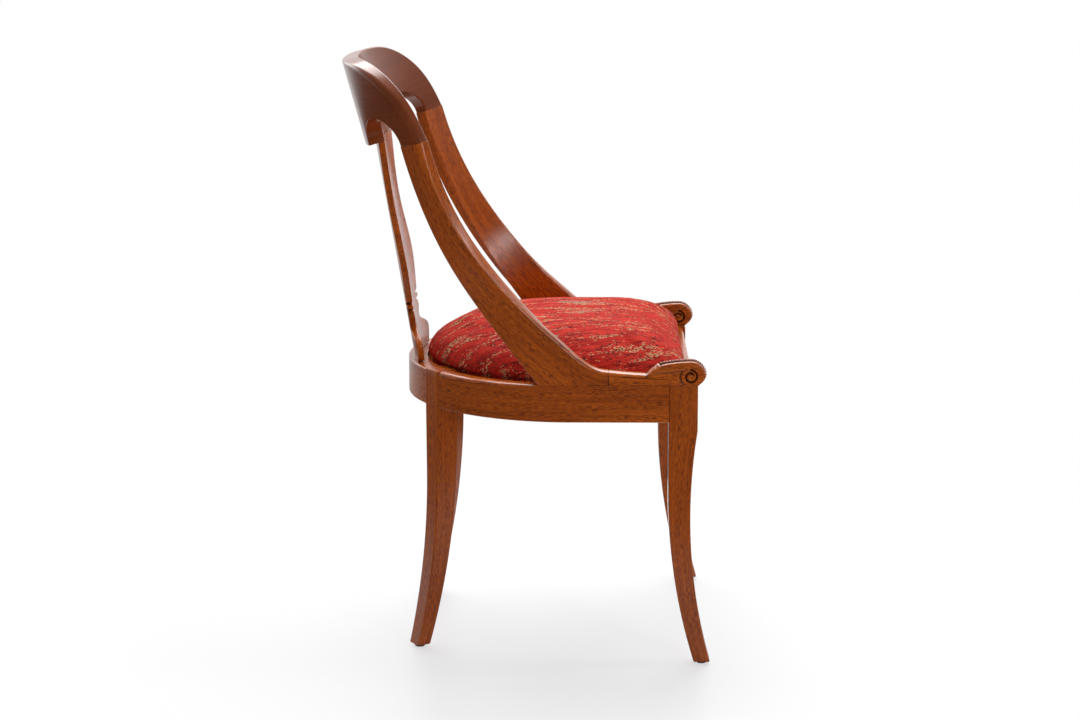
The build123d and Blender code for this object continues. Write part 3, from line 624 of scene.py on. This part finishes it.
def armGrid(p):
    half = seat.half
    points = [
        (half, arcY - p.footAhead, railTop + p.footRise),
        (half, arcY, railTop + p.lowRise),
        (half, arcY + p.middleBehind, railTop + p.middleRise),
        (half + p.bow, arcY + p.highBehind, railTop + p.highRise),
        crestPoint(np.array(crest.half), np.array(crest.board), np.array(0.0)),
    ]
    line = splineThrough(points, (0, 1, 0), crestUp, 600)
    length = runOf(line)[-1]
    close = p.joint / length  # stations crowd at both ends, for the eased edges of the joints
    middle = np.linspace(0.01, 0.99, p.stations - 5)
    share = np.concatenate([[0, close, 2 * close], middle, [1 - close, 1]])
    edge = columns(*[np.interp(share, np.linspace(0, 1, 600), c) for c in line.T])
    way = unit(np.gradient(edge, axis=0))
    way[0], way[-1] = (0, 1, 0), crestUp
    sideways = unit(np.array([1.0, 0, 0]) - way * way[:, :1])
    backways = np.cross(way, sideways)
    turn = np.clip((share - p.twistStart) / (1 - p.twistStart), 0, 1)
    twist = ((np.pi / 2 - endAngle) * np.sin(turn * np.pi / 2))[:, None]
    out = sideways * np.cos(twist) + backways * np.sin(twist)
    down = backways * np.cos(twist) - sideways * np.sin(twist)
    thick = between(crest.end, p.footThick, (1 - share)**2)
    width = between(p.width, p.footDrop, (1 - share)**3)
    room = (edge[:, 2] - railTop) / np.maximum(-down[:, 2], 1e-6)
    cut = width > room
    width = np.where(cut, room, width)
    ends = np.zeros(p.stations)
    ends[[0, -1]] = p.joint
    backSoft = np.where(cut, p.cutSoft, p.backSoft)
    rising = np.clip(share / p.softBy, 0, 1)
    frontSoft, innerSoft = [between(p.footSoft, crest[key], rising) for key in ("outerSoft", "innerSoft")]
    # the front edge gets as round as the crest's only close to it
    meeting = np.clip((share - p.meetFrom) / (1 - p.meetFrom), 0, 1)**2
    through = between(p.footSoft, p.through, rising) + (crest.outerThrough - p.through) * meeting
    radii = [(through, frontSoft), innerSoft, backSoft, backSoft]
    section = roundedSection(thick - 2 * ends, width - 2 * ends, radii, 13, 7)
    # the front is crowned near the foot: drop = crown (2 y / thick - 1)^2
    side = 2 * section[..., 0] / (thick - 2 * ends)[:, None] - 1
    crown = (p.footCrown * (1 - rising))[:, None]
    section[..., 1] += crown * side**2 * np.clip(1 - section[..., 1] / p.crownDepth, 0, 1)
    corner = edge + (down - out) * ends[:, None]
    # the joints with the block and the rail are dark lines: the first rings, and the cut stations' low edge
    dark = np.zeros(section.shape[:2])
    dark[0], dark[1] = 1.0, 0.8
    low = section[..., 1] > (width - 2 * ends)[:, None] - 0.8 * p.cutSoft
    dark = np.where(cut[:, None] & low, 0.8, dark)
    return (*sectionGrid(corner, -out, down, section, share * length), None, dark)


bothSides("arm", "arm", *armGrid(arm))
print("arms made")


# Splat: rows up its outline, bent about a leaning axis, flush with the front of the crest's tab
splat = Sizes(
    thick=9.5, soft=1.8, base=(74.0, 0.0), flare=(85.0, 26.0), neck=(45.0, 51.0), collar=(54.0, 64.0),
    notchHalf=43.0, notch=1.5, bead=(58.0, 78.0), beadHeight=8.0, body=(60.0, 91.0), lobe=(74.0, 142.0),
    waist=(59.0, 232.0), topHalf=78.0)  # pairs are half width and rise


def splatGrid(p):
    foot = np.array([0, arcY + (seat.half + seat.inner) / 2, railTop])
    head = crestPoint(np.array(0.0), np.array(crest.board), np.array(crest.middle - p.thick / 2))
    up = unit(head - foot)
    length = np.linalg.norm(head - foot)
    out = np.cross(up, [1.0, 0, 0])
    radius = crest.radius - crest.middle + p.thick / 2
    low, high = [p.bead[1] + side * (p.beadHeight / 2 + p.notch) for side in (-1, 1)]
    flare = splineThrough([p[key] for key in ("base", "flare", "neck", "collar")], (0.6, 1), (0.1, 1), 44)
    # a bead between two notches, with the parts beside it rounded into them
    notch, quarter = p.notchHalf, np.linspace(0, np.pi / 2, 10)
    (collarHalf, collarRise), (beadHalf, beadRise), (bodyHalf, bodyRise) = p.collar, p.bead, p.body
    collar = ellipse((notch, collarRise), collarHalf - notch, low - collarRise, quarter)
    turn = np.linspace(-np.pi / 2, np.pi / 2, 17)
    bead = ellipse((notch, beadRise), beadHalf - notch, p.beadHeight / 2, turn)
    shoulder = ellipse((notch, bodyRise), bodyHalf - notch, bodyRise - high, quarter - np.pi / 2)
    body = splineThrough([p.body, p.lobe, p.waist, (p.topHalf, length)], (0.4, 1), (0.2, 1), 70)
    rows = np.concatenate([flare[:-1], collar, bead, shoulder[:-1], body])
    half, rise = rows[:, 0], rows[:, 1]
    section = roundedSection(2 * half, np.full_like(half, p.thick), [p.soft] * 4, 4, 14)
    x, y = section[..., 0] - half[:, None], section[..., 1]
    angle = np.arcsin(x / radius)[..., None]
    r = (radius + p.thick / 2 - y)[..., None]
    turned = np.array([1.0, 0, 0]) * np.sin(angle) + out * np.cos(angle)
    grid = foot - out * radius + r * turned + up * rise[:, None, None]
    return grid, columns(x, y, rise[:, None])


woodPiece("splat", *splatGrid(splat), "splat")
print("splat made")


# Scrolled blocks: a side outline in (y, z), a beaded channel along its rim, a spiral cut in both sides.
# Each outline point owns a line from a middle point over one side, across the rim and back over the other.
scroll = Sizes(
    half=14.0, middleX=226.0, armY=-120.0, topZ=432.0, dip=4.0, slope=0.12, tailY=-172.5, tailRun=16.0,
    tailRise=13.5, eyeY=-236.0, eyeZ=425.2, round=22.0, chinRound=16.9, chinTurn=233.4,
    fan=(-246.5, 418.5), fanReach=27.0, ledgeSoft=3.5, ribbonSoft=2.2, flatSoft=0.6, even=7.0,
    crowns=[2.6, 4.0, 6.5, 3.2, 2.2, 1.2, 0.0], cutDepth=2.2, cutHalf=1.9, cutFade=1.5, eyeShift=0.6,
    eyeRound=4.4, eyeRise=0.6, spiralTurn=(97, 500), spiralRound=(9.8, 4.8),
    lead=[(-177.0, 428.6), (-186.0, 429.2), (-198.0, 430.2), (-212.0, 431.8), (-226.0, 433.6)],
    leadDeep=0.45, endTurn=(-44, 30), endRound=14.5, endDeep=0.8, channelHalf=9.4, channelDepth=1.5,
    channelSlope=1.3, beadPitch=4.0, beadLong=1.9, beadHalf=4.2, beadRise=2.3)


# least distance from each point to a line of short runs
def nearest(points, line):
    a, run = line[:-1], np.diff(line, axis=0)
    away = points[:, None] - a[None]
    share = np.clip((away * run).sum(-1) / (run**2).sum(-1), 0, 1)[..., None]
    return np.sqrt(((away - share * run)**2).sum(-1).min(axis=1))


# hollow ledge, ramp of the tail, ribbon, volute, then the flat base and the end against the arm
def scrollOutline(p):
    back = np.linspace(0, p.armY - p.tailY, 26)
    bend = (p.slope * back[-1] - p.dip) / back[-1]**2
    hollow = columns(p.armY - back, p.topZ - p.slope * back + bend * back**2)
    tailTop = np.array([p.tailY - p.tailRun, p.topZ - p.dip + p.tailRise])
    ramp = hollow[-1] + (tailTop - hollow[-1]) * np.linspace(0, 1, 12)[:, None]
    crownZ = p.eyeZ + p.round
    ribbonY = np.linspace(tailTop[0], p.eyeY, 90)
    rise = (crownZ - tailTop[1]) * ((ribbonY - p.eyeY) / (tailTop[0] - p.eyeY))**2
    ribbon = columns(ribbonY, crownZ - rise)
    turn = np.linspace(90, p.chinTurn, 110)
    radius = np.interp(turn, [180, p.chinTurn], [p.round, p.chinRound])
    volute = ellipse((p.eyeY, p.eyeZ), radius, radius, np.radians(turn))
    base = columns(np.linspace(frontY, p.armY, 30), railTop)
    endZ = p.topZ - p.ledgeSoft - p.crowns[0] - 0.5
    end = columns(p.armY, np.linspace(railTop, endZ, 7)[1:])
    runs = [hollow, ramp[1:], ribbon[1:], volute[1:], base[1:], end]
    return np.concatenate(runs), np.cumsum([len(run) for run in runs])


# lines of the carving and how deep they are: the underside of the ribbon, the spiral it runs into,
# and the ribbon's end behind the eye
def scrollCuts(p):
    eye = np.array([p.eyeY + p.eyeShift, p.eyeZ - p.eyeShift])
    radius = np.linspace(*p.spiralRound, 90)
    spiral = ellipse(eye, radius, radius, np.radians(np.linspace(*p.spiralTurn, 90)))
    lead = np.concatenate([p.lead, spiral[:1]])
    ending = ellipse(eye, p.endRound, p.endRound, np.radians(np.linspace(*p.endTurn, 24)))
    return [(lead, p.leadDeep), (spiral, 1.0), (ending, p.endDeep)], eye


# one side: rows from the fan's middle to the edge, with the depth of its carving, which also sets the
# painted shade in its cuts
def scrollSide(p, edgeLine):
    fan = np.array(p.fan)
    reach = np.linalg.norm(edgeLine - fan, axis=1)
    near = np.minimum(p.fanReach, reach * 0.9)
    fine = near[:, None] * np.linspace(0, 1, 46)[None, 1:]
    outer = near[:, None] + (reach - near)[:, None] * np.linspace(0, 1, 37)[None, 1:]
    out = np.concatenate([fine, outer], axis=1)
    flat = fan + (edgeLine - fan)[:, None] * (out / reach[:, None])[..., None]
    spots = flat.reshape(-1, 2)
    edge = nearest(spots, np.concatenate([edgeLine, edgeLine[:1]])).reshape(out.shape)
    lines, eye = scrollCuts(p)
    cut = sum(deep * np.maximum(1 - (nearest(spots, line) / p.cutHalf)**2, 0) for line, deep in lines)
    cut = np.minimum(cut, 1).reshape(out.shape) * np.clip(edge / p.cutFade, 0, 1)
    boss = np.sqrt(np.maximum(1 - (np.linalg.norm(flat - eye, axis=2) / p.eyeRound)**2, 0))
    return flat, p.half - p.cutDepth * cut + p.eyeRise * boss, cut


def scrollGrid(p):
    outline, ends = scrollOutline(p)
    along = runOf(outline)
    tangent = unit(np.roll(outline, -1, axis=0) - np.roll(outline, 1, axis=0))
    tangent[0] = unit(outline[1] - outline[0])
    inward = columns(-tangent[:, 1], tangent[:, 0])
    ledgeEnd, tailEnd, voluteTop, chin = along[ends[:4] - 1]
    # inward directions are evened out along the rim, so that no two lines cross inside the tail
    onRim = along < chin
    weight = np.exp(-((along[onRim, None] - along[onRim]) / p.even)**2) * np.gradient(along)[onRim]
    inward[onRim] = unit(weight @ inward[onRim])
    softMarks = [ledgeEnd - 8, ledgeEnd + 3, chin - 5, chin]
    softLevels = [p.ledgeSoft, p.ribbonSoft, p.ribbonSoft, p.flatSoft]
    soft = np.interp(along, softMarks, softLevels)[:, None]
    crownMarks = [ledgeEnd - 4, tailEnd - 6, tailEnd, tailEnd + 8, voluteTop, chin - 5, chin]
    crown = np.interp(along, crownMarks, p.crowns)[:, None]
    # across the rim: a rounded edge, the channel with its beads, the other rounded edge
    turn = np.linspace(0, np.pi / 2, 8)[1:]
    share = np.linspace(0, 1, 35)[1:-1]
    edgeX = p.half - soft * (1 - np.cos(turn))
    middleX = (p.half - soft) * (1 - 2 * share)
    edgeDrop = soft * (1 - np.sin(turn))
    x = np.concatenate([edgeX, middleX, -edgeX[:, ::-1]], axis=1)
    drop = np.concatenate([edgeDrop, 0 * middleX, edgeDrop[:, ::-1]], axis=1) + crown * (x / p.half)**2
    fromTail, toChin = along[:, None] - tailEnd, chin - along[:, None]
    inside = np.clip((fromTail - 1.0) / 2.0, 0, 1) * np.clip((toChin - 1.0) / 2.0, 0, 1)
    trough = np.clip((p.channelHalf - np.abs(x)) / p.channelSlope, 0, 1) * inside
    step = fromTail % p.beadPitch - p.beadPitch / 2
    swell = 1 - (step / p.beadLong)**2 - (x / p.beadHalf)**2
    bead = p.beadRise * np.sqrt(np.maximum(swell, 0)) * (inside > 0.99)
    sink = p.channelDepth * trough - bead
    rim = outline[:, None] + inward[:, None] * (drop + sink)[..., None]
    flat, side, cut = scrollSide(p, outline + inward * (soft + crown))
    x = np.concatenate([side, x, -side[:, ::-1]], axis=1)
    yz = np.concatenate([flat, rim, flat[:, ::-1]], axis=1)
    # dark: painted shade in the channel between its beads and in the carved cuts of the sides, dark joints
    # below and behind, and painted shade under the tail
    rimJointsAndShade = np.maximum(np.clip(sink / p.channelDepth, 0, 1), trough * 0.5)
    rimJointsAndShade = np.where(toChin < 0, 0.8, rimJointsAndShade)
    rimJointsAndShade = np.maximum(rimJointsAndShade, 0.9 * np.clip(1.5 - np.abs(along[:, None] - ledgeEnd) / 1.6, 0, 1))
    dark = np.concatenate([cut, rimJointsAndShade, cut[:, ::-1]], axis=1)
    grid = np.concatenate([p.middleX + x[..., None], yz], axis=2).transpose(1, 0, 2)
    poles = np.array([(p.middleX + side, *p.fan) for side in (p.half, -p.half)])
    order = [2, 0, 1]
    return grid, grid[..., order], (poles, poles[:, order]), dark.T


bothSides("scroll", "scroll", *scrollGrid(scroll))
print("scrolled blocks made")


# Cushion: a domed horseshoe, filled out by a cloth simulation, with its cover turned under the board
cushion = Sizes(
    half=212.5, front=-233.5, corner=36.0, base=412.2, rise=59.0, footSize=0.984, footRise=0.15,
    fullness=0.56, levels=30, voxel=0.005, heldRise=0.007, pressure=4.0, frames=20, cap=0.005,
    sideRoom=211.4, backRoom=216.5, backFrom=10.0, boardHalf=203.0, boardFront=-202.3, boardCorner=34.0,
    turnUnder=26.0, cloth=1.2, foot=400.1, flatFrom=60.0, flatFall=0.8)


# outline round at the back about the seat's arc centre, square in front with round corners
def horseshoe(half, front, corner, count):
    turn = np.linspace(0, np.pi / 2, 24)
    frontEdge = np.array([[0, front], [half - corner, front]])
    cornerX, cornerY = half - corner + corner * np.sin(turn), front + corner - corner * np.cos(turn)
    frontCorner = columns(cornerX, cornerY)
    turn = np.linspace(0, np.pi / 2, 80)
    back = ellipse((0, arcY), half, half, turn)
    right = np.concatenate([frontEdge, frontCorner[1:], back])
    left = right[::-1][1:] * np.array([-1, 1])
    return evenly(np.concatenate([right, left]), count + 1)[:-1]


# dome: outline size cos(a)^fullness at height footRise + (1 - footRise) sin(a)
def domeMesh(p):
    outline = horseshoe(p.half, p.front, p.corner, 220)
    middle = np.array([0, (p.front + arcY + p.half) / 2])
    angle = np.linspace(0, np.radians(88.5), p.levels)
    size = np.concatenate([[p.footSize - 0.01, p.footSize], np.cos(angle)**p.fullness])
    rise = np.concatenate([[0, 0.01], p.footRise + (1 - p.footRise) * np.sin(angle)])
    flat = middle + (outline - middle) * size[:, None, None]
    grid = columns(flat[..., 0], flat[..., 1], (p.base + p.rise * rise)[:, None])
    return grid.reshape(-1, 3), gridFaces(*grid.shape[:2])


def fixedMesh(piece):
    return bpy.data.meshes.new_from_object(piece.evaluated_get(bpy.context.evaluated_depsgraph_get()))


def coordsOf(mesh):
    flat = np.empty(len(mesh.vertices) * 3, np.float32)
    mesh.vertices.foreach_get("co", flat)
    return flat.reshape(-1, 3).astype(float)


def puffed(p):
    verts, faces = domeMesh(p)
    shell = addMesh("cushionShell", verts, faces, {}, clothFinish)
    remesh = shell.modifiers.new("even", "REMESH")
    remesh.mode, remesh.voxel_size = "VOXEL", p.voxel
    even = fixedMesh(shell)
    shell.modifiers.clear()
    shell.data = even
    start = coordsOf(even)
    held = shell.vertex_groups.new(name="held")
    low = np.nonzero(start[:, 2] < p.base * mm + p.heldRise)[0]
    held.add(low.tolist(), 1.0, "REPLACE")
    cloth = shell.modifiers.new("puff", "CLOTH")
    cloth.settings.use_pressure = True
    cloth.settings.uniform_pressure_force = p.pressure
    cloth.settings.vertex_group_mass = "held"
    cloth.settings.effector_weights.gravity = 0.0
    cloth.point_cache.frame_start, cloth.point_cache.frame_end = 1, p.frames
    for number in range(1, p.frames + 1):
        scene.frame_set(number)
    swollen = coordsOf(fixedMesh(shell))
    shell.modifiers.clear()
    scene.frame_set(1)
    move = swollen - start
    far = np.linalg.norm(move, axis=1, keepdims=True)
    move *= p.cap * np.tanh(far / p.cap) / np.maximum(far, 1e-9)
    even.vertices.foreach_set("co", (start + move).astype(np.float32).ravel())
    even.update()
    smooth = shell.modifiers.new("smooth", "SUBSURF")
    smooth.levels = smooth.render_levels = 1
    final = fixedMesh(shell)
    bpy.data.objects.remove(shell)
    return coordsOf(final) / mm, [list(f.vertices) for f in final.polygons]


# band of cover down the board's edge and under it: a fold carried round the board's outline
def turnedUnder(p):
    outline = horseshoe(p.boardHalf, p.boardFront, p.boardCorner, 200)
    way = unit(np.roll(outline, -1, axis=0) - np.roll(outline, 1, axis=0))
    outward = columns(way[:, 1], -way[:, 0])
    low, high, t = p.foot, p.base + 2.0, p.cloth
    end, bend = -p.turnUnder, 0.8
    outside = [(t, high), (t, low + bend), (t - bend, low), (end, low)]
    fold = np.array(outside + [(end, low + t), (0, low + t), (0, high)])
    flat = outline[:, None] + outward[:, None] * fold[:, :1]
    grid = columns(flat[..., 0], flat[..., 1], fold[:, 1])
    faces = gridQuads(*grid.shape[:2], looped=True)
    verts = grid.reshape(-1, 3)
    return verts, [f[::-1] for f in faces] if insideOut(verts, faces) else faces


def makeCushion(p):
    verts, faces = puffed(p)
    # keep the swell inside the arms and blocks, and close to the rails' inner edge at the back
    x, y = verts[:, 0], verts[:, 1]
    x = np.where(y < p.backFrom, np.clip(x, -p.sideRoom, p.sideRoom), x)
    away = np.hypot(x, y - arcY)
    hold = np.where(y > p.backFrom, np.minimum(p.backRoom / np.maximum(away, 1), 1), 1)
    verts[:, 0], verts[:, 1] = x * hold, arcY + (y - arcY) * hold
    bandVerts, bandFaces = turnedUnder(p)
    count = len(verts)
    verts = np.concatenate([verts, bandVerts])
    faces = faces + [[v + count for v in f] for f in bandFaces]
    # cloth laid flat: each point moves out from the middle by how far it lies below the crown
    middle = np.array([0, (p.front + arcY + p.half) / 2])
    away = verts[:, :2] - middle
    out = np.linalg.norm(away, axis=1, keepdims=True)
    fall = (verts[:, 2].max() - verts[:, 2:]) * np.clip(out / p.flatFrom, 0, 1)
    laid = away / np.maximum(out, 1e-6) * (out + p.flatFall * fall)
    cloth = columns(*laid.T, 0) * mm
    piece = addMesh("seatCushion", verts, faces, {"weave": cloth}, clothFinish, 60)
    settle(piece, "seat", ["seat_cover", "seat_pad"])


makeCushion(cushion)
print("cushion made")

# Hidden and small pieces keep their own solids
keptFinishes = dict(plainWood=("corner_block", "arm_dowels", "crest_dowels", "rail_dowels",
                               "scroll_dowels", "seat_board"),
                    plainSteel=("corner_screws", "glide_nails"), darkGlide=("glide_front", "glide_rear"),
                    liningCloth=("seat_lining",))
for nodeName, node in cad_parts.items():
    for finish, starts in keptFinishes.items():
        if nodeName.startswith(starts):
            node.data.materials.clear()
            node.data.materials.append(plainMaterials[finish])

# Studio: a pale floor that fades to white, soft boxes, the photograph's camera
# each lamp: name, place, size, power, soft share at each edge, whether it lights, whether gloss shows it
studio = Sizes(
    floorReach=0.85, floorTone=(0.68, 0.675, 0.685, 1), floorRough=0.35, floorGloss=0.2, fadeFrom=0.45,
    fadeTo=0.82, fadeLeast=0.60, lightLow=0.20, lightHigh=0.45, lightBelow=0.62, glossBelow=0.06,
    glossNear=0.25, glossBehind=(-0.3, 0.8), glossLift=0.2, glossAbove=(-0.06, 0.04), aim=(0, 0, 0.45),
    lens=92.17, sensor=36.0, eye=(-4.0455, -0.0630, 1.2331), turn=0.5966, down=11.646,
    lamps=[
        ("overhead", (1.42, 0.0, 2.63), (2.93, 3.46), 187.0, 0.25, True, False),
        ("ledge", (1.84, 0.0, 2.44), (3.6, 2.3), 156.0, 0.25, False, True),
        ("backSide", (1.9, 1.8, 1.35), (2.6, 2.2), 60.0, 0.5, True, True),
        ("frontSide", (0.0, -2.2, 2.1), (0.67, 0.67), 28.0, 0.25, True, True),
        ("cameraSide", (-2.6, -1.65, 1.15), (0.53, 2.13), 36.0, 0.25, True, True),
    ])


# each is one for its own kind of ray: from the camera, in gloss, through glass
def raysOf(wire):
    rays = wire.make("LightPath", {})
    return rays.outputs("Is Camera Ray", "Is Glossy Ray", "Is Transmission Ray")


def studioFloor(p):
    turn = np.linspace(0, 2 * np.pi, 97)[:-1]
    ring = p.floorReach * columns(np.cos(turn), np.sin(turn), 0)
    mesh = bpy.data.meshes.new("studioFloor")
    mesh.from_pydata(ring.tolist(), [], [list(range(len(ring)))])
    material, wire = newMaterial("studioFloor")
    place = wire.make("TexCoord", {}, 3)
    far = wire.make("VectorMath", {0: place}, 1, operation="LENGTH")
    fade = stepOf(wire, far, p.fadeFrom, p.fadeTo, p.fadeLeast)
    camera, glossy, through = raysOf(wire)
    seen = wire.maths("MINIMUM", camera + glossy * p.floorGloss + through, 1.0)
    sockets = {"Base Color": p.floorTone, "Roughness": p.floorRough}
    ground = wire.make("BsdfPrincipled", sockets)
    glow = wire.make("Emission", {"Color": (1, 1, 1, 1), "Strength": 1.0})
    surface = wire.make("MixShader", {0: fade * seen, 1: ground, 2: glow})
    wire.make("OutputMaterial", {"Surface": surface})
    mesh.materials.append(material)
    floor = bpy.data.objects.new("studioFloor", mesh)
    scene.collection.objects.link(floor)


# a soft box: its light fades out towards the edges, so that no hard edge shows in gloss
def softenLamp(lamp, edge):
    lamp.use_nodes = True
    lamp.node_tree.nodes.clear()
    wire = Wire(lamp.node_tree)
    spot = wire.make("NewGeometry", {}, "Parametric")
    tone = 1.0
    for place in wire.make("SeparateXYZ", {0: spot}).outputs(0, 1):
        tone = tone * stepOf(wire, wire.maths("MINIMUM", place, 1.0 - place), 0.0, edge)
    colour = wire.make("CombineColor", {0: tone, 1: tone, 2: tone})
    glow = wire.make("Emission", {"Color": colour, "Strength": 1.0})
    wire.make("OutputLight", {"Surface": glow})


def studioLight(p):
    world = bpy.data.worlds.new("studio")
    scene.world = world
    world.use_nodes = True
    world.node_tree.nodes.clear()
    wire = Wire(world.node_tree)
    # light falls off from overhead to the horizon; the camera sees white, and gloss sees that white
    # above the floor
    way = wire.make("TexCoord", {})
    ahead, height = wire.make("SeparateXYZ", {0: way}).outputs(0, 2)
    behind = stepOf(wire, ahead, *p.glossBehind)
    above = stepOf(wire, height + behind * p.glossLift, *p.glossAbove)
    fall = p.lightLow - p.lightBelow + height * (p.lightHigh - p.lightLow)
    light = p.lightBelow + wire.maths("GREATER_THAN", height, 0.0) * fall
    camera, glossy, through = raysOf(wire)
    seen = wire.maths("MINIMUM", camera + through, 1.0)
    near = p.glossNear + (1.0 - p.glossNear) * behind
    gloss = glossy * (p.glossBelow + (near - p.glossBelow) * above)
    strength = seen + gloss + (1.0 - wire.maths("MINIMUM", seen + glossy, 1.0)) * light
    sky = wire.make("Background", {"Color": (1, 1, 1, 1), "Strength": strength})
    wire.make("OutputWorld", {"Surface": sky})
    for name, place, size, power, edge, lights, shows in p.lamps:
        lamp = bpy.data.lights.new(name, "AREA")
        lamp.shape, lamp.energy = "RECTANGLE", power
        lamp.size, lamp.size_y = size
        softenLamp(lamp, edge)
        holder = bpy.data.objects.new(name, lamp)
        holder.location = place
        holder.visible_camera, holder.visible_diffuse, holder.visible_glossy = False, lights, shows
        holder.rotation_euler = (Vector(p.aim) - Vector(place)).to_track_quat("-Z", "Y").to_euler()
        scene.collection.objects.link(holder)


def studioCamera(p):
    lens = bpy.data.cameras.new("camera")
    lens.lens, lens.sensor_width, lens.sensor_fit = p.lens, p.sensor, "HORIZONTAL"
    camera = bpy.data.objects.new("camera", lens)
    camera.location = p.eye
    turn, down = np.radians(p.turn), np.radians(p.down)
    ahead = Vector((np.cos(down) * np.cos(turn), np.cos(down) * np.sin(turn), -np.sin(down)))
    camera.rotation_euler = ahead.to_track_quat("-Z", "Y").to_euler()
    scene.collection.objects.link(camera)
    scene.camera = camera


studioFloor(studio)
studioLight(studio)
studioCamera(studio)
print("studio made")
